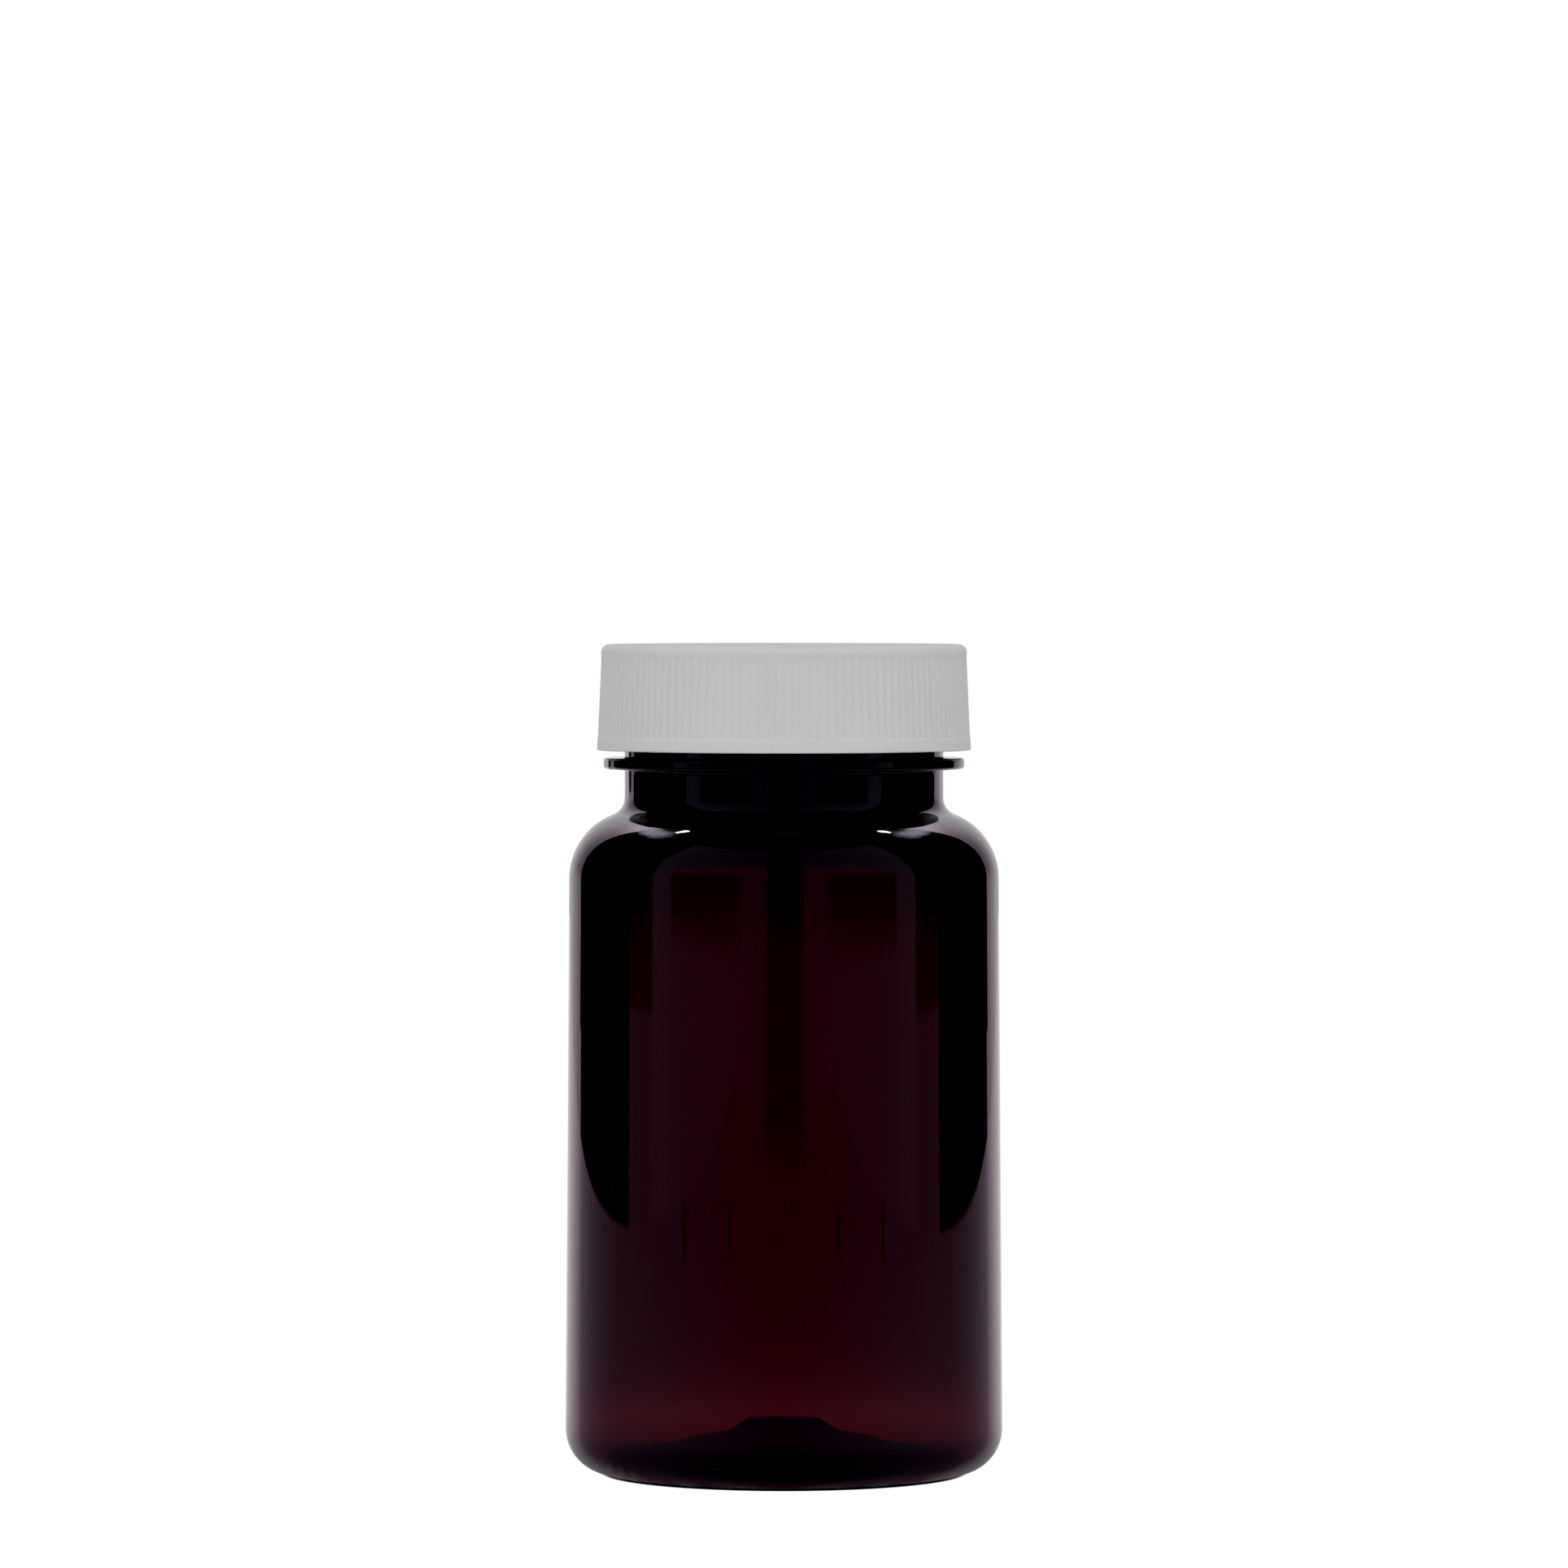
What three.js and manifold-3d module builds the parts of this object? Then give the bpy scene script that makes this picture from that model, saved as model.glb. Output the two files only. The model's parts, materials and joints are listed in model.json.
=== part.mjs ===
// Wide-mouth pill bottle with a ribbed one-piece screw cap and its two liner discs.
// Millimetres, +Z up, origin at the centre of the base on the plane the bottle stands on.
// The cap is screwed home. Turning it counterclockwise, seen from above, lifts it off.

import * as THREE from "three";
import { mergeVertices } from "three/addons/utils/BufferGeometryUtils.js";
import Module from "manifold-3d";

const wasm = await Module();
wasm.setup();

// ---------- Fineness ----------
const SEGMENTS = 48; // facets round the axis
const ARC_STEPS = 5; // steps in a rounded corner

// ---------- Bottle body ----------
const BODY_RADIUS = 24.03; // at the top of the heel
const BODY_DRAFT = 0.0071; // radius lost for each mm of height
const STAND_RADIUS = 19.4; // outer edge of the flat standing ring
const STAND_WIDTH = 1.0;
const HEEL_HEIGHT = 4.83;
const WALL = 0.75; // side wall
const HEEL_WALL = 1.0; // under the heel, where it stands
const PUSH_UP = 4.0; // height of the underside at the centre of the base
const GATE_RADIUS = 1.6; // moulding gate left under the centre
const GATE_DEPTH = 0.6;
const DOME_RISE = 1.23; // floor of the inside above the underside, at the centre
const BOSS_RADIUS = 4.0; // thick disc at the centre of the floor
const BOSS_FOOT_RADIUS = 6.2;
const BOSS_TOP = 6.2;

// ---------- Shoulder, neck and support ring ----------
const SHOULDER_Z = 65.2; // height of the centre of the shoulder's arc
const SHOULDER_ARC = 7.58;
const SHOULDER_WALL = 0.9;
const NECK_RADIUS = 17.5; // 38 mm finish, thread root
const NECK_FILLET = 2.0;
const MOUTH_RADIUS = 15.8;
const RING_RADIUS = 19.81;
const RING_Z = 77.28;
const RING_THICKNESS = 1.2;
const RING_EDGE = 0.3; // rounding of the ring's edge
const RIM_Z = 88.4;
const RIM_EDGE = 0.35; // rounding of the sealing rim

// ---------- Screw thread, one right-hand start of a 38-400 finish ----------
const PITCH = 4.233; // six threads to the inch
const THREAD_CREST_RADIUS = 18.75;
const THREAD_CREST = 1.0; // width of the crest along the axis
const FLANK_SLOPE = 0.55; // half width gained for each mm down from the crest
const THREAD_ROOT_DEPTH = 0.4; // how far a thread is sunk into its wall, so the two join
const THREAD_TOP_Z = 86.1; // centre of the bottle's thread at its upper end
const THREAD_TURNS = 1.08;
const THREAD_GAP = 0.15; // along the axis, between the loaded flanks
const STEPS_PER_TURN = 48;
const RUN_OUT = 0.06; // turns over which a thread's end fades

// ---------- Cap ----------
const CAP_Z = 79.34; // bottom of the skirt
const CAP_TOP_Z = 90.94;
const CAP_TOP_RADIUS = 20.07;
const CAP_FOOT_RADIUS = 20.54;
const CAP_EDGE = 0.85; // rounding of the top edge
const PANEL = 1.4; // top panel
const CAP_BORE_RADIUS = 19.0;
const CAP_BORE_CHAMFER = 0.45;
const BAND_HEIGHT = 1.25; // smooth lower band
const RIB_COUNT = 130;
const RIB_DEPTH = 0.14; // the ribs' crests are flush with the skirt
const RIB_TOP_Z = 89.6;
const RIB_GROOVE = 0.5; // depth of the groove in the skirt that the ring of ribs fills
const CAP_THREAD_RADIUS = 17.8;
const CAP_THREAD_LOW_Z = 81.2; // centre of the cap's thread at its lower end
const CAP_THREAD_TURNS = 1.0;

// ---------- Liner ----------
const SEAT_GAP = 0.02; // between pieces that press on each other
const LINER_RADIUS = 18.5;
const BACKING_THICKNESS = 0.94;
const FOIL_THICKNESS = 0.12;
const FOIL_RADIUS = 18.3;

// ---------- Materials ----------
const AMBER = { color: 0x2a0610, roughness: 0.08, metalness: 0 };
const WHITE = { color: 0xdededf, roughness: 0.55, metalness: 0 };
const BOARD = { color: 0xcfc6b4, roughness: 0.9, metalness: 0 };
const FOIL = { color: 0xc9cbce, roughness: 0.3, metalness: 1 };

const bodyRadius = (z) => BODY_RADIUS - BODY_DRAFT * (z - HEEL_HEIGHT);
const lerp = (a, b, t) => a + (b - a) * t;

// Points on an ellipse's arc, from angle a to angle b in radians, both ends included.
function arc(centreR, centreZ, radiusR, radiusZ, a, b, steps = ARC_STEPS) {
  const points = [];
  for (let i = 0; i <= steps; i += 1) {
    const angle = lerp(a, b, i / steps);
    const r = centreR + radiusR * Math.cos(angle);
    const z = centreZ + radiusZ * Math.sin(angle);
    points.push(new THREE.Vector2(r, z));
  }
  return points;
}

const point = (r, z) => new THREE.Vector2(r, z);

// A closed three.js geometry as a manifold solid.
function solid(geometry) {
  const bare = geometry.clone();
  bare.deleteAttribute("normal");
  bare.deleteAttribute("uv");
  const merged = mergeVertices(bare, 1e-5);
  const index = Array.from(merged.index.array);
  const kept = [];
  for (let i = 0; i < index.length; i += 3) {
    const [a, b, c] = index.slice(i, i + 3);
    if (a !== b && b !== c && c !== a) {
      kept.push(a, b, c);
    }
  }
  const mesh = new wasm.Mesh({
    numProp: 3,
    vertProperties: new Float32Array(merged.attributes.position.array),
    triVerts: new Uint32Array(kept),
  });
  return new wasm.Manifold(mesh);
}

// A manifold solid as a named mesh with its own material.
function part(name, shape, finish) {
  const mesh = shape.getMesh();
  const geometry = new THREE.BufferGeometry();
  geometry.setAttribute("position", new THREE.BufferAttribute(mesh.vertProperties, 3));
  geometry.setIndex(new THREE.BufferAttribute(mesh.triVerts, 1));
  geometry.computeVertexNormals();
  const result = new THREE.Mesh(geometry, new THREE.MeshStandardMaterial(finish));
  result.name = name;
  return result;
}

// A profile of (radius, height) points, listed upwards on the outside, turned round the Z axis.
function turned(profile, segments = SEGMENTS) {
  const geometry = new THREE.LatheGeometry(profile, segments);
  geometry.rotateX(Math.PI / 2);
  return solid(geometry);
}

// A straight trapezoid bar bent into a helix round the Z axis, with its ends faded into the wall.
// outwards is 1 for a bottle's thread and -1 for a cap's, where the bar is also laid upside down
// so that its faces still point out.
function thread(wallRadius, crestRadius, lowZ, turns) {
  const outwards = Math.sign(crestRadius - wallRadius);
  const depth = Math.abs(crestRadius - wallRadius);
  const crestHalf = THREAD_CREST / 2;
  const rootHalf = crestHalf + FLANK_SLOPE * (depth + THREAD_ROOT_DEPTH);
  const section = new THREE.Shape([
    point(-rootHalf, -THREAD_ROOT_DEPTH),
    point(rootHalf, -THREAD_ROOT_DEPTH),
    point(crestHalf, depth),
    point(-crestHalf, depth),
  ]);
  const steps = Math.ceil(STEPS_PER_TURN * turns);
  const bar = new THREE.ExtrudeGeometry(section, { depth: turns, steps, bevelEnabled: false });
  const position = bar.attributes.position;
  for (let i = 0; i < position.count; i += 1) {
    const alongAxis = position.getX(i);
    const rise = position.getY(i);
    const turn = position.getZ(i);
    const fromEnd = Math.min(turn, turns - turn);
    const fade = Math.min(1, 0.25 + (0.75 * fromEnd) / RUN_OUT);
    const radius = wallRadius + outwards * (rise > 0 ? rise * fade : rise);
    const angle = 2 * Math.PI * turn;
    const z = lowZ + outwards * alongAxis + PITCH * turn;
    position.setXYZ(i, radius * Math.cos(angle), radius * Math.sin(angle), z);
  }
  return solid(bar);
}

// ---------- Bottle ----------

// Underside of the push-up and floor of the inside: two shallow parabolas.
const innerStandRadius = STAND_RADIUS - STAND_WIDTH;
const underside = (r) => PUSH_UP * (1 - (r / innerStandRadius) ** 2);
const floorFall = (PUSH_UP + DOME_RISE - HEEL_WALL) / (innerStandRadius - HEEL_WALL) ** 2;
const floorHeight = (r) => PUSH_UP + DOME_RISE - floorFall * r * r;

function bottleShape() {
  const shoulderR = bodyRadius(SHOULDER_Z) - SHOULDER_ARC;
  const filletR = NECK_RADIUS + NECK_FILLET;
  const reach = SHOULDER_ARC + NECK_FILLET;
  const filletZ = SHOULDER_Z + Math.sqrt(reach ** 2 - (filletR - shoulderR) ** 2);
  const meet = Math.atan2(filletZ - SHOULDER_Z, filletR - shoulderR);
  const ringTop = RING_Z + RING_THICKNESS;
  const ringR = RING_RADIUS - RING_EDGE;
  const rimR = NECK_RADIUS - RIM_EDGE;
  const outside = [
    point(0, PUSH_UP - GATE_DEPTH),
    point(GATE_RADIUS, PUSH_UP - GATE_DEPTH),
    ...[2.2, 7, 12, 15.5].map((r) => point(r, underside(r))),
    point(innerStandRadius, 0),
    ...arc(STAND_RADIUS, HEEL_HEIGHT, BODY_RADIUS - STAND_RADIUS, HEEL_HEIGHT, -Math.PI / 2, 0),
    point(bodyRadius(35), 35),
    ...arc(shoulderR, SHOULDER_Z, SHOULDER_ARC, SHOULDER_ARC, 0, meet, 6),
    ...arc(filletR, filletZ, NECK_FILLET, NECK_FILLET, meet + Math.PI, Math.PI, 3).slice(1),
    point(NECK_RADIUS, RING_Z),
    ...arc(ringR, RING_Z + RING_EDGE, RING_EDGE, RING_EDGE, -Math.PI / 2, 0, 2),
    ...arc(ringR, ringTop - RING_EDGE, RING_EDGE, RING_EDGE, 0, Math.PI / 2, 2),
    point(NECK_RADIUS, ringTop),
    ...arc(rimR, RIM_Z - RIM_EDGE, RIM_EDGE, RIM_EDGE, 0, Math.PI / 2, 1),
  ];
  const innerArc = SHOULDER_ARC - SHOULDER_WALL;
  const innerMeet = Math.acos((MOUTH_RADIUS - shoulderR + 0.5) / innerArc);
  const innerHeelR = STAND_RADIUS - 0.2;
  const innerHeelZ = HEEL_HEIGHT + WALL / 2;
  const innerHeelWidth = bodyRadius(innerHeelZ) - WALL - innerHeelR;
  const innerHeelRise = innerHeelZ - HEEL_WALL;
  const inside = [
    point(MOUTH_RADIUS, RIM_Z),
    point(MOUTH_RADIUS, filletZ),
    ...arc(shoulderR, SHOULDER_Z, innerArc, innerArc, innerMeet, 0, 5),
    point(bodyRadius(35) - WALL, 35),
    ...arc(innerHeelR, innerHeelZ, innerHeelWidth, innerHeelRise, 0, -Math.PI / 2),
    ...[innerStandRadius - HEEL_WALL, 14, 10].map((r) => point(r, floorHeight(r))),
    point(BOSS_FOOT_RADIUS, floorHeight(BOSS_FOOT_RADIUS)),
    point(BOSS_RADIUS, BOSS_TOP),
    point(0, BOSS_TOP),
  ];
  const lowZ = THREAD_TOP_Z - PITCH * THREAD_TURNS;
  const screw = thread(NECK_RADIUS, THREAD_CREST_RADIUS, lowZ, THREAD_TURNS);
  return turned([...outside, ...inside]).add(screw);
}

// ---------- Cap ----------

// A ring of fine upright ribs that fills the groove in the skirt and is drafted like it. Its outline
// is drawn one unit in radius and scaled at each height to the skirt's radius there.
function ribRing(lowZ, highZ, skirtRadius) {
  const outline = new THREE.Shape();
  const corners = RIB_COUNT * 2;
  for (let i = 0; i < corners; i += 1) {
    const angle = (2 * Math.PI * i) / corners;
    const radius = i % 2 ? 1 - RIB_DEPTH / CAP_TOP_RADIUS : 1;
    outline[i ? "lineTo" : "moveTo"](radius * Math.cos(angle), radius * Math.sin(angle));
  }
  outline.closePath();
  const hole = new THREE.Path();
  for (let i = 0; i < SEGMENTS; i += 1) {
    const angle = (-2 * Math.PI * i) / SEGMENTS;
    const radius = 1 - (2 * RIB_GROOVE) / CAP_TOP_RADIUS;
    hole[i ? "lineTo" : "moveTo"](radius * Math.cos(angle), radius * Math.sin(angle));
  }
  hole.closePath();
  outline.holes.push(hole);
  const ring = new THREE.ExtrudeGeometry(outline, { depth: highZ - lowZ, bevelEnabled: false });
  const position = ring.attributes.position;
  for (let i = 0; i < position.count; i += 1) {
    const z = lowZ + position.getZ(i);
    const scale = skirtRadius(z);
    position.setXYZ(i, position.getX(i) * scale, position.getY(i) * scale, z);
  }
  return solid(ring);
}

function capShape() {
  const edgeZ = CAP_TOP_Z - CAP_EDGE;
  const bandTop = CAP_Z + BAND_HEIGHT;
  const skirtRadius = (z) => lerp(CAP_FOOT_RADIUS, CAP_TOP_RADIUS, (z - CAP_Z) / (edgeZ - CAP_Z));
  const grooveRadius = (z) => skirtRadius(z) - RIB_GROOVE;
  const profile = [
    point(0, CAP_TOP_Z - PANEL),
    point(CAP_BORE_RADIUS, CAP_TOP_Z - PANEL),
    point(CAP_BORE_RADIUS, CAP_Z + CAP_BORE_CHAMFER),
    point(CAP_BORE_RADIUS + CAP_BORE_CHAMFER, CAP_Z),
    point(CAP_FOOT_RADIUS, CAP_Z),
    point(skirtRadius(bandTop), bandTop),
    point(grooveRadius(bandTop), bandTop),
    point(grooveRadius(RIB_TOP_Z), RIB_TOP_Z),
    point(skirtRadius(RIB_TOP_Z), RIB_TOP_Z),
    ...arc(CAP_TOP_RADIUS - CAP_EDGE, edgeZ, CAP_EDGE, CAP_EDGE, 0, Math.PI / 2, 3),
    point(0, CAP_TOP_Z),
  ];
  const ribs = ribRing(bandTop, RIB_TOP_Z, skirtRadius);
  const screw = thread(CAP_BORE_RADIUS, CAP_THREAD_RADIUS, CAP_THREAD_LOW_Z, CAP_THREAD_TURNS);
  const turnBack = capThreadAngle();
  return turned(profile).add(ribs).add(screw.rotate([0, 0, turnBack]));
}

// Degrees by which the cap's thread is turned so that it lies just under the bottle's thread.
function capThreadAngle() {
  const reach = THREAD_CREST_RADIUS - CAP_THREAD_RADIUS;
  const spacing = THREAD_CREST + FLANK_SLOPE * reach + THREAD_GAP;
  const bottleLowZ = THREAD_TOP_Z - PITCH * THREAD_TURNS;
  return (360 * (CAP_THREAD_LOW_Z + spacing - bottleLowZ)) / PITCH;
}

// ---------- Liner discs ----------

const backingTop = CAP_TOP_Z - PANEL - SEAT_GAP;
const backingBottom = backingTop - BACKING_THICKNESS;
const foilTop = backingBottom - SEAT_GAP;
const foilBottom = foilTop - FOIL_THICKNESS;

function disc(radius, bottom, top) {
  return turned([point(0, bottom), point(radius, bottom), point(radius, top), point(0, top)]);
}

const vial = new THREE.Group();
vial.add(part("bottle", bottleShape(), AMBER));
vial.add(part("cap", capShape(), WHITE));
vial.add(part("liner_backing", disc(LINER_RADIUS, backingBottom, backingTop), BOARD));
vial.add(part("foil_seal", disc(FOIL_RADIUS, foilBottom, foilTop), FOIL));

export default vial;
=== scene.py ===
# %% [markdown]
# # A dark pill bottle with a ribbed screw cap
#
# The object is a stretch-blown bottle of brown-red transparent plastic, closed by a white moulded
# screw cap. Under the cap's top lie a pulpboard disc and a foil disc. All four pieces are bodies of
# revolution with something added: a helical thread, a row of ribs, a pressed ring. The measured
# model gives their places and sizes, and this lesson remakes each of them as a smooth surface.

# %% Load the measured model
import json
import math

import bpy
import numpy as np
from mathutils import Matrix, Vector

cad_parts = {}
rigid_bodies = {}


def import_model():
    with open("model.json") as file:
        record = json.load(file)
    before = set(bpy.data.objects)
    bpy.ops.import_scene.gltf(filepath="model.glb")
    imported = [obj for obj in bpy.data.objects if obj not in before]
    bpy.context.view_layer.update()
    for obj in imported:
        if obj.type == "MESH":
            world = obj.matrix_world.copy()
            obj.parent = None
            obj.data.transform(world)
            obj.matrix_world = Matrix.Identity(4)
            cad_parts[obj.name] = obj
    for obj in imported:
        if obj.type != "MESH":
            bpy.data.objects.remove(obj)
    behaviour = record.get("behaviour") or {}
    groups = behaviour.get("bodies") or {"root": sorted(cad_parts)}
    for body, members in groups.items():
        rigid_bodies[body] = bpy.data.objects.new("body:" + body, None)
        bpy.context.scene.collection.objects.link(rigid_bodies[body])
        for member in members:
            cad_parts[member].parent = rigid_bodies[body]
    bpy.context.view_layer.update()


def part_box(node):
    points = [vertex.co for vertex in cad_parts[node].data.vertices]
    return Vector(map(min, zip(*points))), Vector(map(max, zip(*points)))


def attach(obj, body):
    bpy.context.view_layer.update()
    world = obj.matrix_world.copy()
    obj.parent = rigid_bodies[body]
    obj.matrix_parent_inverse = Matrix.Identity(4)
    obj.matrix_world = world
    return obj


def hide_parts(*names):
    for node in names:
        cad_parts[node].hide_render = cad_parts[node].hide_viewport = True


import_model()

bottle_low, bottle_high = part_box("bottle")
cap_low, cap_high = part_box("cap")
backing_low, backing_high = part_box("liner_backing")
foil_low, foil_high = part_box("foil_seal")
MM = 0.001

# %% [markdown]
# ## The camera
#
# A long lens from nearly a metre away, a little above the cap and tipped down by a degree and a
# half, sees the bottle almost square on, so its upright sides stay parallel and its rings show as
# thin ellipses. A long lens is the usual choice for a small product.

# %% Camera
CAMERA_DISTANCE = 0.969
CAMERA_HEIGHT = 0.0988
CAMERA_TILT_DEG = 1.3725
LENS_MM = 202.6


def make_camera():
    """A camera on the -Y side that looks along +Y and slightly down."""
    data = bpy.data.cameras.new("studio_camera")
    data.sensor_width = 36.0
    data.lens = LENS_MM
    camera = bpy.data.objects.new("studio_camera", data)
    bpy.context.scene.collection.objects.link(camera)
    camera.location = (0.0, -CAMERA_DISTANCE, CAMERA_HEIGHT)
    camera.rotation_euler = (math.radians(90 - CAMERA_TILT_DEG), 0.0, 0.0)
    bpy.context.scene.camera = camera
    return camera


camera = make_camera()
print("camera stands at", tuple(round(v, 3) for v in camera.location))

# %% [markdown]
# ## A surface from a profile
#
# Blender's Screw or Spin would turn a profile too, but a thread or a rib is then a second mesh to
# be joined by a boolean. Here the whole surface is one grid of numbers: rows follow the profile,
# columns go round the axis, and the thread or the ribs are added to the radius before the grid
# becomes a mesh. The result is closed, even and free of seams.

# %% Profile helpers


def arc(centre, radii, start, end, count):
    """Points centre + (radii r * cos a, radii z * sin a), with a from start to end in degrees."""
    a = np.radians(np.linspace(start, end, count))
    return np.stack([centre[0] + radii[0] * np.cos(a), centre[1] + radii[1] * np.sin(a)], axis=1)


def line(start, end, count):
    """Evenly spaced points start + t * (end - start), with t from 0 to 1."""
    t = np.linspace(0.0, 1.0, count)[:, None]
    return np.array(start, float) + t * (np.array(end, float) - np.array(start, float))


def joined(*stretches):
    """The stretches as one profile, with each point that repeats the one before it left out."""
    points = np.vstack(stretches)
    step = np.linalg.norm(np.diff(points, axis=0), axis=1)
    return points[np.concatenate([[True], step > 0.002])]


def smooth(low, high, value):
    """0 below low, 1 above high, and 3t^2 - 2t^3 between them."""
    t = np.clip((value - low) / (high - low), 0.0, 1.0)
    return t * t * (3.0 - 2.0 * t)


# %% From a grid to a mesh


def turned_mesh(name, profile, columns, relief=None):
    """A closed mesh turned round Z: point = (r cos a, r sin a, z), with r = profile r + relief.

    profile is in millimetres and runs so that the material lies on its left; its first and last
    points are on the axis and become poles. relief(angles, rows) gives an array of added radii.
    """
    angles = np.linspace(0.0, 2.0 * np.pi, columns, endpoint=False)
    rows = profile[1:-1]
    radius = np.repeat(rows[:, :1], columns, axis=1)
    if relief is not None:
        radius = radius + relief(angles, rows)
    height = np.repeat(rows[:, 1:], columns, axis=1)
    grid = np.stack([radius * np.cos(angles), radius * np.sin(angles), height], axis=2)
    poles = [[0.0, 0.0, profile[0, 1]], [0.0, 0.0, profile[-1, 1]]]
    points = np.vstack([grid.reshape(-1, 3), poles]) * MM

    index = np.arange(len(rows) * columns).reshape(len(rows), columns)
    ahead = np.roll(index, -1, axis=1)
    quads = np.stack([index[:-1], ahead[:-1], ahead[1:], index[1:]], axis=2).reshape(-1, 4)
    first, last = len(points) - 2, len(points) - 1
    start = np.stack([np.full(columns, first), ahead[0], index[0]], axis=1)
    end = np.stack([np.full(columns, last), index[-1], ahead[-1]], axis=1)

    corners = np.concatenate([quads.ravel(), start.ravel(), end.ravel()]).astype(np.int32)
    sizes = np.concatenate([np.full(len(quads), 4), np.full(2 * columns, 3)])
    mesh = bpy.data.meshes.new(name)
    mesh.vertices.add(len(points))
    mesh.vertices.foreach_set("co", points.ravel())
    mesh.loops.add(len(corners))
    mesh.loops.foreach_set("vertex_index", corners)
    mesh.polygons.add(len(sizes))
    mesh.polygons.foreach_set("loop_start", np.concatenate([[0], np.cumsum(sizes)[:-1]]))
    mesh.polygons.foreach_set("use_smooth", np.ones(len(sizes), bool))
    mesh.update(calc_edges=True)
    mesh.validate()
    made = bpy.data.objects.new(name, mesh)
    bpy.context.scene.collection.objects.link(made)
    triangles = 2 * len(quads) + 2 * columns
    print(f"{name}: {len(rows)} rows x {columns} columns, {triangles} triangles")
    return made


# %% [markdown]
# ## The thread
#
# A screw thread is a ridge whose middle climbs by one pitch for each turn. At any angle the ridge
# is crossed once or twice, so its height there depends only on how far a point is from the nearest
# crossing. Its flanks are rounded with the smooth step, as moulded plastic is, and its ends fade
# into the wall over a few degrees.

# %% Thread
PITCH = 4.233
THREAD_CREST_HALF = 0.5
FLANK_SLOPE = 0.55
CREST_ROUNDING = 0.2
ROOT_ROUNDING = 0.12
RUN_OUT = 0.06


def thread_height(angles, heights, low, turns, depth):
    """Depth of a helical ridge at each height (rows) and angle (columns), in millimetres.

    The middle of the ridge is at low + PITCH * t, where t is the number of turns from its lower
    end, and its height falls from depth at the crest to nothing over the flank.
    """
    flank_start = THREAD_CREST_HALF - CREST_ROUNDING
    flank_end = THREAD_CREST_HALF + FLANK_SLOPE * depth + ROOT_ROUNDING
    total = np.zeros((len(heights), len(angles)))
    for lap in range(-1, math.ceil(turns) + 1):
        t = (angles / (2.0 * np.pi) + lap)[None, :]
        away = np.abs(heights[:, None] - (low + PITCH * t))
        ridge = smooth(flank_end, flank_start, away)
        fade = smooth(0.0, RUN_OUT, t) * smooth(0.0, RUN_OUT, turns - t)
        total = np.maximum(total, depth * ridge * fade)
    return total


# %% [markdown]
# ## The bottle
#
# The bottle begins as an injection-moulded tube with its thread and ring already finished, which
# is then heated, stretched and blown against a mould. That is why the neck is thick and exact and
# the side wall is thin, with a slight draft, a wide round heel, and a base pushed up in the
# middle round a thick disc where the plastic was first injected. Outside and inside are one
# closed surface, because light must enter and leave a wall of the right thickness.

# %% Bottle sizes, in millimetres
BODY_RADIUS = bottle_high.x / MM
BODY_DRAFT = 0.0071
STAND_RADIUS = 19.4
STAND_WIDTH = 1.0
HEEL_HEIGHT = 4.83
HEEL_WALL = 0.62
HEEL_INNER_Z = HEEL_HEIGHT + 0.4
SIDE_WALL = 0.768
SHOULDER_EXTRA = 0.12
SHOULDER_REACH = 4.6
HEEL_THINNING = 0.235
HEEL_REACH = 5.2
PUSH_UP = 4.0
DOME_RISE = 1.23
GATE_RADIUS = 1.6
GATE_DEPTH = 0.6
BOSS_RADIUS = 4.0
BOSS_FOOT_RADIUS = 6.2
BOSS_TOP = 6.2
SHOULDER_Z = 65.2
SHOULDER_ARC = 7.58
SHOULDER_WALL = SIDE_WALL + SHOULDER_EXTRA
NECK_RADIUS = 17.5
NECK_FILLET = 2.0
MOUTH_RADIUS = 15.8
RING_RADIUS = 19.81
RING_Z = 77.28
RING_THICKNESS = 1.2
RING_EDGE = 0.3
RIM_Z = bottle_high.z / MM
RIM_EDGE = 0.35
THREAD_DEPTH = 1.25
THREAD_TOP_Z = 86.1
THREAD_TURNS = 1.08
STAND_INNER = STAND_RADIUS - STAND_WIDTH


def body_radius(z):
    """Outer radius of the side wall: BODY_RADIUS less the draft above the heel."""
    return BODY_RADIUS - BODY_DRAFT * (z - HEEL_HEIGHT)


def wall_thickness(z):
    """SIDE_WALL, thicker by a bell curve below the shoulder and thinner by one above the heel."""
    shoulder = np.exp(-(((SHOULDER_Z - z) / SHOULDER_REACH) ** 2))
    heel = np.exp(-(((z - HEEL_INNER_Z) / HEEL_REACH) ** 2))
    return SIDE_WALL + SHOULDER_EXTRA * shoulder - HEEL_THINNING * heel


def underside(r):
    """Height of the pushed-up base: a parabola that meets the standing ring."""
    return PUSH_UP * (1.0 - (r / STAND_INNER) ** 2)


def floor_height(r):
    """Height of the floor inside: a parabola above the underside."""
    fall = (PUSH_UP + DOME_RISE - HEEL_WALL) / (STAND_INNER - HEEL_WALL) ** 2
    return PUSH_UP + DOME_RISE - fall * r * r


# %% Bottle profile


def curve_of(function, radii):
    """Points (r, function of r)."""
    return np.stack([radii, function(radii)], axis=1)


SHOULDER_R = body_radius(SHOULDER_Z) - SHOULDER_ARC
FILLET_R = NECK_RADIUS + NECK_FILLET
FILLET_Z = SHOULDER_Z + math.sqrt((SHOULDER_ARC + NECK_FILLET) ** 2 - (FILLET_R - SHOULDER_R) ** 2)
MEET = math.degrees(math.atan2(FILLET_Z - SHOULDER_Z, FILLET_R - SHOULDER_R))


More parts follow.
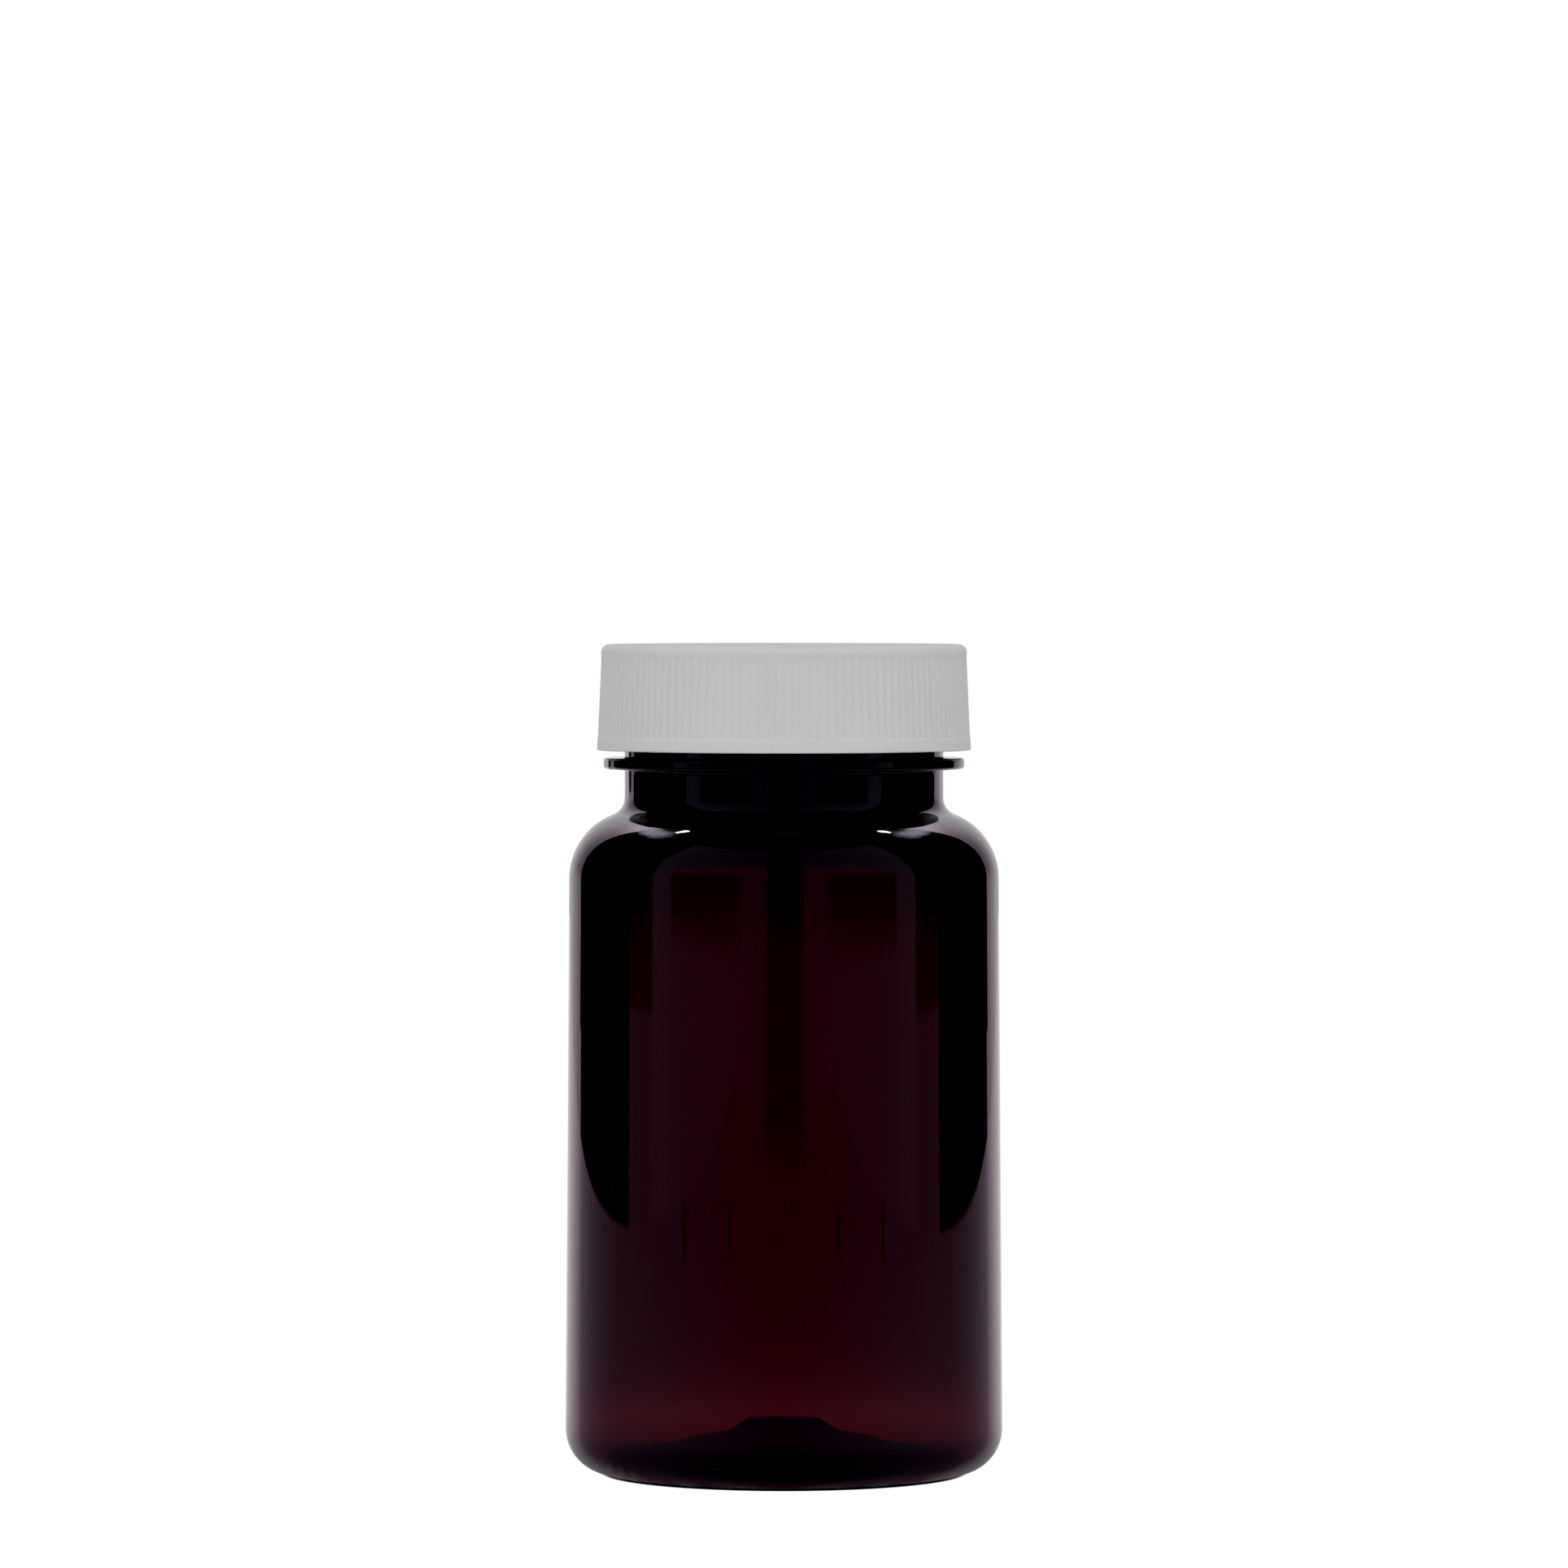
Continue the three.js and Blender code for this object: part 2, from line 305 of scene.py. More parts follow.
def bottle_outside():
    """From the gate under the base, round the heel and up to the outer edge of the rim."""
    gate_z = PUSH_UP - GATE_DEPTH
    ring_r, ring_top = RING_RADIUS - RING_EDGE, RING_Z + RING_THICKNESS
    rim_r, rim_z = NECK_RADIUS - RIM_EDGE, RIM_Z - RIM_EDGE
    return joined(
        line((0.0, gate_z), (GATE_RADIUS - 0.25, gate_z), 4),
        arc((GATE_RADIUS - 0.25, gate_z + 0.25), (0.25, 0.25), -90, 0, 4),
        curve_of(underside, np.linspace(GATE_RADIUS + 0.5, STAND_INNER - 0.4, 22)),
        arc((STAND_INNER + 0.1, 0.25), (0.35, 0.25), 230, 270, 4),
        line((STAND_INNER + 0.2, 0.0), (STAND_RADIUS, 0.0), 3),
        arc((STAND_RADIUS, HEEL_HEIGHT), (BODY_RADIUS - STAND_RADIUS, HEEL_HEIGHT), -90, 0, 26),
        line((body_radius(6.0), 6.0), (body_radius(SHOULDER_Z), SHOULDER_Z), 18),
        arc((SHOULDER_R, SHOULDER_Z), (SHOULDER_ARC, SHOULDER_ARC), 0, MEET, 30),
        arc((FILLET_R, FILLET_Z), (NECK_FILLET, NECK_FILLET), MEET + 180, 180, 12),
        line((NECK_RADIUS, FILLET_Z), (NECK_RADIUS, RING_Z - 0.15), 8),
        arc((NECK_RADIUS + 0.15, RING_Z - 0.15), (0.15, 0.15), 180, 90, 4),
        arc((ring_r, RING_Z + RING_EDGE), (RING_EDGE, RING_EDGE), -90, 0, 7),
        arc((ring_r, ring_top - RING_EDGE), (RING_EDGE, RING_EDGE), 0, 90, 7),
        arc((NECK_RADIUS + 0.2, ring_top + 0.2), (0.2, 0.2), 270, 180, 4),
        line((NECK_RADIUS, ring_top + 0.3), (NECK_RADIUS, rim_z), 72),
        arc((rim_r, rim_z), (RIM_EDGE, RIM_EDGE), 0, 90, 7),
    )


def bottle_inside():
    """From the inner edge of the rim down the neck, the wall and the floor to the axis."""
    inner_arc = SHOULDER_ARC - SHOULDER_WALL
    inner_meet = math.degrees(math.acos((MOUTH_RADIUS + 0.9 - SHOULDER_R) / inner_arc))
    meet_z = SHOULDER_Z + inner_arc * math.sin(math.radians(inner_meet))
    heel_r, heel_z = STAND_RADIUS - 0.2, HEEL_INNER_Z
    heel_width = body_radius(heel_z) - wall_thickness(heel_z) - heel_r
    straight = np.linspace(SHOULDER_Z, heel_z, 40)
    boss = [(BOSS_FOOT_RADIUS, floor_height(BOSS_FOOT_RADIUS)), (BOSS_RADIUS, BOSS_TOP)]
    return joined(
        arc((MOUTH_RADIUS + 0.2, RIM_Z - 0.2), (0.2, 0.2), 90, 180, 4),
        line((MOUTH_RADIUS, RIM_Z - 0.2), (MOUTH_RADIUS, FILLET_Z + 1.0), 8),
        arc(
            (MOUTH_RADIUS + 0.9, FILLET_Z + 1.0), (0.9, FILLET_Z + 1.0 - meet_z - 0.02), 180, 262, 8
        ),
        arc((SHOULDER_R, SHOULDER_Z), (inner_arc, inner_arc), inner_meet, 0, 26),
        np.stack([body_radius(straight) - wall_thickness(straight), straight], axis=1),
        arc((heel_r, heel_z), (heel_width, heel_z - HEEL_WALL), 0, -90, 20),
        curve_of(
            floor_height, np.linspace(STAND_INNER - HEEL_WALL - 0.3, BOSS_FOOT_RADIUS + 0.4, 14)
        ),
        line(boss[0], boss[1], 4),
        line((BOSS_RADIUS - 0.35, BOSS_TOP), (0.0, BOSS_TOP), 4),
    )


# %% [markdown]
# The neck is moulded in two halves, and where they met a fine upright line is left on opposite
# sides. It is a soft ridge a tenth of a millimetre high, enough to catch a reflection.

# %% Bottle mesh
PARTING_ANGLE_DEG = 195.0
PARTING_HEIGHT = 0.11
PARTING_HALF_WIDTH = 0.35
BOTTLE_COLUMNS = 288


def bottle_relief(angles, rows):
    """Thread and parting lines, added to the radius of the rows on the neck's outside."""
    r, z = rows[:, 0], rows[:, 1]
    outside = np.arange(len(rows)) < len(bottle_outside()) - 1
    neck = outside & (z > RING_Z + RING_THICKNESS) & (r > NECK_RADIUS - 0.01)
    added = np.zeros((len(rows), len(angles)))
    low = THREAD_TOP_Z - PITCH * THREAD_TURNS
    added[neck] = thread_height(angles, z[neck], low, THREAD_TURNS, THREAD_DEPTH)
    for side in (0.0, np.pi):
        turn = np.angle(np.exp(1j * (angles - math.radians(PARTING_ANGLE_DEG) - side)))
        ridge = np.exp(-((turn * NECK_RADIUS / PARTING_HALF_WIDTH) ** 2))
        upright = smooth(FILLET_Z + 0.3, FILLET_Z + 0.6, z) * outside
        added += PARTING_HEIGHT * upright[:, None] * ridge[None, :]
    return added


bottle = turned_mesh(
    "bottle_shell", joined(bottle_outside(), bottle_inside()), BOTTLE_COLUMNS, bottle_relief
)
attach(bottle, "bottle")
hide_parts("bottle")

# %% [markdown]
# ## The cap
#
# The cap is injection-moulded polypropylene: a flat top with a rounded edge, a drafted skirt with
# very fine upright ribs, and a plain band at the foot. The ribs are only a sixth of a millimetre
# deep. They follow the wave |cos(n a / 2)|: round crests with narrow valleys between them, the
# bottoms of the valleys softened a little. They are set slightly back from the band and fade out
# below the rounded edge. Eight columns to a rib are enough.

# %% Cap sizes, in millimetres
CAP_Z = cap_low.z / MM
CAP_TOP_Z = cap_high.z / MM
CAP_FOOT_RADIUS = cap_high.x / MM
CAP_TOP_RADIUS = 20.07
CAP_EDGE = 0.85
CAP_BORE_RADIUS = 19.0
CAP_PANEL = 1.4
CAP_CHAMFER = 0.45
BAND_HEIGHT = 1.25
RIB_COUNT = 130
RIB_DEPTH = 0.16
RIB_SET_BACK = 0.05
RIB_FADE_TOP = 90.09
RIB_FADE = 0.9
CAP_THREAD_LOW_Z = 81.2
CAP_THREAD_TURNS = 1.0
CAP_THREAD_DEPTH = 1.2
THREAD_GAP = 0.15
MOULD_DIMPLE = 0.12
COLUMNS_PER_RIB = 8
RIB_STEP = 0.3
VALLEY_ROUNDING = 0.01


def cap_profile():
    """Underside of the top, down the bore, round the foot, up the skirt and over the top."""
    edge_z = CAP_TOP_Z - CAP_EDGE
    band_top = CAP_Z + BAND_HEIGHT
    panel_z = CAP_TOP_Z - CAP_PANEL
    foot_r = CAP_FOOT_RADIUS - 0.12

    def skirt(z):
        return CAP_FOOT_RADIUS + (CAP_TOP_RADIUS - CAP_FOOT_RADIUS) * (z - CAP_Z) / (edge_z - CAP_Z)

    foot_rows = np.linspace(band_top + 0.06, band_top + 0.36, 5)
    head_rows = np.linspace(RIB_FADE_TOP - RIB_FADE, edge_z, 8)
    between = np.linspace(foot_rows[-1], head_rows[0], 5)[1:-1]
    ribbed = np.concatenate([foot_rows, between, head_rows])
    return joined(
        line((0.0, panel_z), (CAP_BORE_RADIUS - 0.2, panel_z), 5),
        arc((CAP_BORE_RADIUS - 0.2, panel_z - 0.2), (0.2, 0.2), 90, 0, 4),
        line((CAP_BORE_RADIUS, panel_z - 0.3), (CAP_BORE_RADIUS, CAP_Z + CAP_CHAMFER), 46),
        line(
            (CAP_BORE_RADIUS, CAP_Z + CAP_CHAMFER), (CAP_BORE_RADIUS + CAP_CHAMFER, CAP_Z + 0.03), 4
        ),
        line((CAP_BORE_RADIUS + CAP_CHAMFER + 0.05, CAP_Z), (foot_r, CAP_Z), 3),
        arc((foot_r, CAP_Z + 0.12), (0.12, 0.12), -90, 0, 4),
        line((skirt(CAP_Z + 0.2), CAP_Z + 0.2), (skirt(band_top), band_top), 3),
        np.stack([skirt(ribbed), ribbed], axis=1),
        arc((CAP_TOP_RADIUS - CAP_EDGE, edge_z), (CAP_EDGE, CAP_EDGE), 0, 90, 9),
        line((17.5, CAP_TOP_Z), (1.3, CAP_TOP_Z), 5),
        line((1.0, CAP_TOP_Z - MOULD_DIMPLE), (0.0, CAP_TOP_Z - MOULD_DIMPLE), 3),
    )


def cap_thread_turn():
    """Angle by which the cap's thread is turned to lie just under the bottle's thread."""
    reach = NECK_RADIUS + THREAD_DEPTH - (CAP_BORE_RADIUS - CAP_THREAD_DEPTH)
    spacing = 2.0 * THREAD_CREST_HALF + FLANK_SLOPE * reach + THREAD_GAP
    bottle_low_z = THREAD_TOP_Z - PITCH * THREAD_TURNS
    return 2.0 * np.pi * (CAP_THREAD_LOW_Z + spacing - bottle_low_z) / PITCH


def cap_relief(angles, rows):
    """Minus the thread on the bore, and minus the valleys between the ribs on the skirt.

    A valley is 1 - sqrt(cos(n a / 2)^2 + VALLEY_ROUNDING) deep, as a share of RIB_DEPTH.
    """
    r, z = rows[:, 0], rows[:, 1]
    added = np.zeros((len(rows), len(angles)))
    bore = (np.abs(r - CAP_BORE_RADIUS) < 0.01) & (z < CAP_TOP_Z - CAP_PANEL - 0.2)
    turned_angles = np.mod(angles - cap_thread_turn(), 2.0 * np.pi)
    added[bore] = -thread_height(
        turned_angles, z[bore], CAP_THREAD_LOW_Z, CAP_THREAD_TURNS, CAP_THREAD_DEPTH
    )
    skirt = r > CAP_TOP_RADIUS - 0.4
    rise = smooth(CAP_Z + BAND_HEIGHT, CAP_Z + BAND_HEIGHT + RIB_STEP, z)
    fall = smooth(RIB_FADE_TOP, RIB_FADE_TOP - RIB_FADE, z)
    valley = 1.0 - np.sqrt(np.cos(RIB_COUNT * angles / 2.0) ** 2 + VALLEY_ROUNDING)
    cut = RIB_SET_BACK + RIB_DEPTH * valley
    added[skirt] -= (rise * fall)[skirt, None] * cut[None, :]
    return added


cap = turned_mesh("cap_moulding", cap_profile(), RIB_COUNT * COLUMNS_PER_RIB, cap_relief)
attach(cap, "cap")
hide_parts("cap")

# %% [markdown]
# ## The liner
#
# The pulpboard disc is die-cut, so its edge is square with a slight burr-rounding. The foil disc
# hangs under it, held by a wax film, and carries the faint ring that the bottle's rim has pressed
# into it. Both are hidden until the cap is lifted.

# %% Liner discs
DISC_COLUMNS = 192
RIM_ROWS_FROM = 15.4
DENT_INNER, DENT_OUTER = (15.5, 15.9), (17.6, 17.2)


def disc_profile(low, high, radius, edge, dent=0.0):
    """A flat disc in millimetres with a rounded edge and a shallow ring pressed in from below."""
    under_mouth = np.linspace(0.0, MOUTH_RADIUS - 0.6, 6)
    r = np.concatenate([under_mouth, np.linspace(RIM_ROWS_FROM, radius - edge, 22)])
    press = smooth(*DENT_INNER, r) * smooth(*DENT_OUTER, r)
    bottom = np.stack([r, low + dent * press], axis=1)
    return joined(
        bottom,
        arc((radius - edge, low + edge), (edge, edge), -90, 0, 5),
        arc((radius - edge, high - edge), (edge, edge), 0, 90, 5),
        line((radius - edge - 0.3, high), (0.0, high), 6),
    )


def make_disc(name, low, high, edge, dent, node):
    """One liner disc in the place of its measured node."""
    profile = disc_profile(low.z / MM, high.z / MM, high.x / MM, edge, dent)
    made = turned_mesh(name, profile, DISC_COLUMNS)
    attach(made, "liner")
    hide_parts(node)
    return made


backing = make_disc(
    "liner_board", backing_low, backing_high, 0.1, 0.0, "liner_backing"
)
foil = make_disc("foil_disc", foil_low, foil_high, 0.03, 0.03, "foil_seal")

# %% [markdown]
# ## Writing materials as sums
#
# A procedural material is arithmetic on coordinates. Wired by hand it is a maze of Math nodes, so
# a small class wraps a socket and lets Python's own operators add the nodes: `1 - mask * 0.5` makes
# two of them. Every other node comes from one method that takes its type, settings and inputs.

# %% A socket that can be added and multiplied


class Value:
    """A number that varies over a surface: an output socket of a node tree."""

    def __init__(self, tree, socket):
        self.tree = tree
        self.socket = socket

    def maths(self, operation, other, swap=False):
        """A Math node on this value and another value or plain number."""
        first, second = (other, self) if swap else (self, other)
        return self.tree.node("ShaderNodeMath", {"operation": operation}, {0: first, 1: second})

    def __add__(self, other):
        return self.maths("ADD", other)

    def __sub__(self, other):
        return self.maths("SUBTRACT", other)

    def __rsub__(self, other):
        return self.maths("SUBTRACT", other, swap=True)

    def __mul__(self, other):
        return self.maths("MULTIPLY", other)

    __radd__ = __add__
    __rmul__ = __mul__

    def above(self, low, high):
        """0 below low and 1 above high, smooth between."""
        settings = {"interpolation_type": "SMOOTHSTEP"}
        return self.tree.node(
            "ShaderNodeMapRange", settings, {"Value": self, "From Min": low, "From Max": high}
        )


class Finish:
    """A new material with its shader, and the method that adds nodes to it."""

    def __init__(self, name):
        self.material = bpy.data.materials.new(name)
        self.material.use_nodes = True
        self.nodes = self.material.node_tree.nodes
        self.links = self.material.node_tree.links
        self.shader = self.nodes["Principled BSDF"]
        self.output = self.nodes["Material Output"]

    def node(self, kind, settings=None, inputs=None, output=0):
        """Adds a node: its settings first, then its sockets, each a number, a tuple or a Value."""
        made = self.nodes.new(kind)
        for key, value in (settings or {}).items():
            setattr(made, key, value)
        for key, value in (inputs or {}).items():
            self.put(made.inputs[key], value)
        return Value(self, made.outputs[output])

    def put(self, socket, value):
        """Links a Value to a socket, or sets the socket to a plain number or colour."""
        if isinstance(value, Value):
            self.links.new(value.socket, socket)
        else:
            socket.default_value = value

    def set(self, **inputs):
        """Sets the shader's own sockets; Coat_Weight stands for Coat Weight."""
        for key, value in inputs.items():
            self.put(self.shader.inputs[key.replace("_", " ")], value)

    def place(self):
        """Object coordinates, in metres."""
        return self.node("ShaderNodeTexCoord", output="Object")

    def noise(self, place, scale, detail=2.0, roughness=0.5):
        """A noise pattern between 0 and 1, with scale features to the metre."""
        inputs = {"Vector": place, "Scale": scale, "Detail": detail, "Roughness": roughness}
        return self.node("ShaderNodeTexNoise", {"normalize": True}, inputs)

    def stretched(self, place, scale):
        """The coordinates multiplied by a vector, to draw a pattern out along an axis."""
        settings = {"operation": "MULTIPLY"}
        return self.node("ShaderNodeVectorMath", settings, {0: place, 1: scale})

    def mix(self, mask, first, second):
        """A colour that goes from first to second as mask goes from 0 to 1."""
        made = self.nodes.new("ShaderNodeMix")
        made.data_type = "RGBA"
        self.put(made.inputs["Factor"], mask)
        self.put(made.inputs[6], first)
        self.put(made.inputs[7], second)
        return Value(self, made.outputs[2])

    def bump(self, height, distance, strength=1.0):
        """A Bump node on a height between 0 and 1, its full height given in metres."""
        inputs = {"Height": height, "Distance": distance, "Strength": strength}
        return self.node("ShaderNodeBump", inputs=inputs, output="Normal")


# %% [markdown]
# ## Amber PET
#
# The plastic is clear and deeply dyed. Its colour is not on its surface but in its thickness: light
# is absorbed along its way through the wall, so the thin side wall glows dark red against a light,
# and the thick neck and base look black. A transmission shader with an absorbing volume does just
# that. The surface is glossy with faint flow waves, and handling leaves hair scratches and dull
# patches that are seen only where something bright is reflected.

# %% Amber PET
PET_IOR = 1.575
PET_ABSORPTION_COLOUR = (0.44, 0.0, 0.08, 1.0)
PET_ABSORPTION_DENSITY = 5000.0


def amber_pet():
    """Clear dyed plastic: transmission, an absorbing volume, waves, scratches and dull patches."""
    finish = Finish("amber_pet")
    place = finish.place()
    waves = finish.noise(finish.stretched(place, (60.0, 60.0, 22.0)), 1.0, 1.0)
    grain = finish.noise(place, 5200.0, 2.0)
    scratch_field = finish.noise(finish.stretched(place, (1500.0, 1500.0, 170.0)), 1.0, 3.0)
    scratches = scratch_field.above(0.70, 0.74)
    patches = finish.noise(place, 95.0, 4.0, 0.6).above(0.48, 0.72)
    height = waves * 0.6 + grain * 0.002 + scratches * 0.02
    finish.set(
        Base_Color=(1.0, 1.0, 1.0, 1.0),
        Roughness=0.018 + patches * 0.03 + scratches * 0.12,
        IOR=PET_IOR,
        Transmission_Weight=1.0,
        Normal=finish.bump(height, 0.00012),
    )
    volume = finish.nodes.new("ShaderNodeVolumeAbsorption")
    volume.inputs["Color"].default_value = PET_ABSORPTION_COLOUR
    volume.inputs["Density"].default_value = PET_ABSORPTION_DENSITY
    finish.links.new(volume.outputs[0], finish.output.inputs["Volume"])
    return finish.material


bottle.data.materials.append(amber_pet())

# %% [markdown]
# ## White polypropylene
#
# The cap's plastic is filled with white pigment but stays slightly translucent, so thin places such
# as its foot are softened from inside. Subsurface scattering over about a millimetre gives that.
# The mould has a fine spark-eroded grain, the flow of plastic leaves very faint cloudy streaks,
# and the rim of the top is polished a little by handling.

# %% White polypropylene


def white_polypropylene():
    """Near-white satin plastic: fine grain, soft clouds and a little rub on the top edge."""
    finish = Finish("white_polypropylene")
    place = finish.place()
    clouds = finish.noise(place, 140.0, 3.0)
    grain = finish.noise(place, 7000.0, 2.0, 0.6)
    specks = finish.noise(place, 2600.0, 1.0).above(0.74, 0.80)
    height = finish.node("ShaderNodeSeparateXYZ", inputs={"Vector": place}, output="Z")
    edge = height.above((CAP_TOP_Z - 1.1) * MM, (CAP_TOP_Z - 0.3) * MM)
    tone = finish.mix(clouds, (0.80, 0.80, 0.815, 1.0), (0.85, 0.85, 0.855, 1.0))
    tone = finish.mix(specks * 0.25, tone, (0.62, 0.60, 0.58, 1.0))
    finish.set(
        Base_Color=tone,
        Roughness=0.6 - edge * 0.08 + grain * 0.08,
        IOR=1.49,
        Subsurface_Weight=0.25,
        Subsurface_Radius=(0.0012, 0.0011, 0.0010),
        Subsurface_Scale=0.35,
        Normal=finish.bump(grain, 0.00002),
    )
    return finish.material


cap.data.materials.append(white_polypropylene())

# %% [markdown]
# ## Pulpboard and foil
#
# Pulpboard is pressed wood fibre: matt, off-white, with short darker fibres lying in its plane.
# The foil is rolled aluminium under a clear sealing film: fine parallel rolling lines, tiny
# dents, and a slight waviness.

# %% Pulpboard and foil


def pulpboard():
    """Pressed fibre: mottled off-white with stretched fibre marks and a rough surface."""
    finish = Finish("pulpboard")
    place = finish.place()
    mottle = finish.noise(place, 700.0, 4.0, 0.6)
    fibre_place = finish.stretched(place, (2500.0, 500.0, 2500.0))
    fibres = finish.noise(fibre_place, 1.0, 3.0).above(0.5, 0.75)
    tone = finish.mix(mottle, (0.70, 0.66, 0.58, 1.0), (0.82, 0.79, 0.72, 1.0))
    tone = finish.mix(fibres * 0.35, tone, (0.50, 0.44, 0.36, 1.0))
    height = mottle * 0.6 + fibres * 0.4
    finish.set(Base_Color=tone, Roughness=0.88 + mottle * 0.1, Normal=finish.bump(height, 0.00006))
    return finish.material


def seal_foil():
    """Rolled aluminium under a clear film: rolling lines, small dents, soft waves."""
    finish = Finish("seal_foil")
    place = finish.place()
    rolling = finish.noise(finish.stretched(place, (9000.0, 60.0, 60.0)), 1.0, 2.0)
    dents = finish.noise(place, 420.0, 2.0)
    waves = finish.noise(place, 90.0, 1.0)
    tone = finish.mix(rolling, (0.72, 0.73, 0.75, 1.0), (0.86, 0.87, 0.88, 1.0))
    height = rolling * 0.06 + dents * 0.3 + waves * 0.6
    finish.set(
        Base_Color=tone,
        Metallic=1.0,
        Roughness=0.24 + rolling * 0.14,
        Coat_Weight=0.6,
        Coat_Roughness=0.12,
        Normal=finish.bump(height, 0.00012),
    )
    return finish.material


backing.data.materials.append(pulpboard())
foil.data.materials.append(seal_foil())
print("materials:", [m.name for m in bpy.data.materials if m.users and m.use_nodes])

# %% [markdown]
# ## The studio
#
# A dark glossy bottle is lit by what it reflects. Here that is a bright backdrop seen at the very
# edges, darkness at both sides that draws the upright black bands, a table that is bright at the
# back and dim at the front, two small lamps high at the back that put the sparks on the shoulder,
# and dim panels either side of the camera. Each but the table is a card on a large sphere, given by
# compass angle and elevation as the bottle sees them, and seen only by reflections. The cap is
# matt, so it takes its light from an even white surround instead.

# %% Cards that only reflections see
STUDIO_RADIUS = 2.0


def glow_material(name, sampling):
    """Light whose colour and strength are stored on each point of the card."""
    finish = Finish(name)
    colour = finish.node("ShaderNodeAttribute", {"attribute_name": "glow"}, output="Color")
    light = finish.node("ShaderNodeEmission", inputs={"Color": colour, "Strength": 1.0})
    finish.links.new(light.socket, finish.output.inputs["Surface"])
    finish.material.cycles.emission_sampling = sampling
    return finish.material


GLOW = glow_material("studio_glow", "NONE")
LAMP_GLOW = glow_material("studio_lamp", "AUTO")
CAST_AZIMUTHS = (0, 12, 20, 28, 36, 44, 60, 90, 105, 180)
CAST_RED = (0.0, 0.02, 0.1, 0.14, 0.18, 0.34, 0.36, 0.25, 0.1, 0.08)
CAST_BLUE = (0.0, 0.02, 0.08, 0.12, 0.17, 0.32, 0.35, 0.27, 0.26, 0.2)
WING_CAST = (0.0, 0.5)
SPHERE_CENTRE = (0.0, 0.0, 0.04)


def with_cast(azimuth, glow, cast=(1.0, 1.0)):
    """RGBA light: glow in green, and in red and blue a little more, by compass angle.

    cast says how much of CAST_RED and of CAST_BLUE is used.
    """
    red = 1.0 + cast[0] * np.interp(np.abs(azimuth), CAST_AZIMUTHS, CAST_RED)
    blue = 1.0 + cast[1] * np.interp(np.abs(azimuth), CAST_AZIMUTHS, CAST_BLUE)
    return np.stack([glow * red, glow, glow * blue, np.ones_like(glow)], axis=-1)


def grid_object(name, points, light):
    """An open grid of points (rows, columns, 3) as a mesh with the RGBA light of each point."""
    rows, columns = points.shape[:2]
    index = np.arange(rows * columns).reshape(rows, columns)
    faces = np.stack([index[:-1, :-1], index[:-1, 1:], index[1:, 1:], index[1:, :-1]], axis=2)
    mesh = bpy.data.meshes.new(name)
    mesh.from_pydata(points.reshape(-1, 3).tolist(), [], faces.reshape(-1, 4).tolist())
    layer = mesh.attributes.new("glow", "FLOAT_COLOR", "POINT")
    layer.data.foreach_set("color", light.ravel())
    mesh.materials.append(LAMP_GLOW if name.startswith("lamp") else GLOW)
    made = bpy.data.objects.new(name, mesh)
    bpy.context.scene.collection.objects.link(made)
    made.visible_camera = False
    made.visible_diffuse = False
    made.visible_transmission = False
    made.visible_shadow = False
    made.visible_volume_scatter = False
    return made


def card(name, azimuths, elevations, glow, count, slant=0.0, cast=(1.0, 1.0)):
    """A card on the studio's sphere; azimuth 0 is behind the bottle and 90 is to its right.

    count is (columns, rows), and slant lifts the card by that much for each degree outwards.
    """
    azimuth = np.linspace(*azimuths, count[0])[None, :] + np.zeros((count[1], 1))
    outwards = np.abs(azimuth) - abs(azimuths[0])
    elevation = np.linspace(*elevations, count[1])[:, None] + slant * outwards
    a, e = np.radians(azimuth), np.radians(elevation)
    along = np.stack([np.sin(a) * np.cos(e), np.cos(a) * np.cos(e), np.sin(e)], axis=2)
    strength = glow(azimuth, elevation) if callable(glow) else np.full(azimuth.shape, float(glow))
    points = along * STUDIO_RADIUS + SPHERE_CENTRE
    return grid_object(name, points, with_cast(azimuth, strength, cast))


# %% Places of the backdrop, wings, lamps and front panels, in degrees
LOW_EDGE = -4.3
BACKDROP_SIDE = 40.6
BACKDROP_TOP = 50
FOOT_SIDES = (BACKDROP_SIDE, 42.2)
FOOT_TOP = -2.4
FOOT_GLOW = 0.42
WING_SIDES = (41, 72)
WING_ELEVATIONS = (41, 60)
LAMP_SIDES = (44.5, 55)
LAMP_ELEVATIONS = (60.2, 63.3)
LAMP_SLANT = -0.4
LAMP_STRENGTH = 42.0
FLAG_SIDES = (89.8, 105.3)
FLAG_GLOW = 0.07
STEP_TOP = -1.78
STEP_GLOW = 0.17
PANEL_SIDES = (105.3, 169.6)
PANEL_TOP = 57
SEAM_SIDES = (170.4, 171.1)
SEAM_ELEVATIONS = (-3.1, 30)
SEAM_GLOW = 0.13
print("backdrop, degrees:", 2 * BACKDROP_SIDE, "wide; panels from", PANEL_SIDES[0])

# %% How the light falls off across the cards
ACROSS_AZIMUTHS = (0, 12, 16, 20, 24, 28, 32, 36, 41)
ACROSS_GLOW_LOW = (0.72, 0.70, 0.68, 0.71, 0.73, 0.64, 0.62, 0.53, 0.42)
ACROSS_GLOW_HIGH = (0.78, 0.76, 0.76, 0.72, 0.65, 0.53, 0.42, 0.33, 0.26)
LOW_TO_HIGH = (6.0, -1.5)
HIGH_ELEVATIONS = (16, 22, 26, 30, 33, 36, 39, 42, 46)
HIGH_GLOW = (0.0, 0.1, 0.22, 0.36, 0.6, 1.0, 1.6, 2.0, 1.9)
WING_AZIMUTHS = (41, 48, 54, 60, 66, 72)
WING_MIDDLES = (46, 47.6, 50.2, 50.8, 52.5, 53)
WING_PEAKS = (1.8, 2.0, 2.0, 1.2, 0.4, 0.0)
WING_HALF_HEIGHT = 4.2
WING_HAZE = 0.3
HAZE_SIDES = (46, 60)
HAZE_FROM = 52
PANEL_AZIMUTHS = (105, 112, 120, 130, 145, 170)
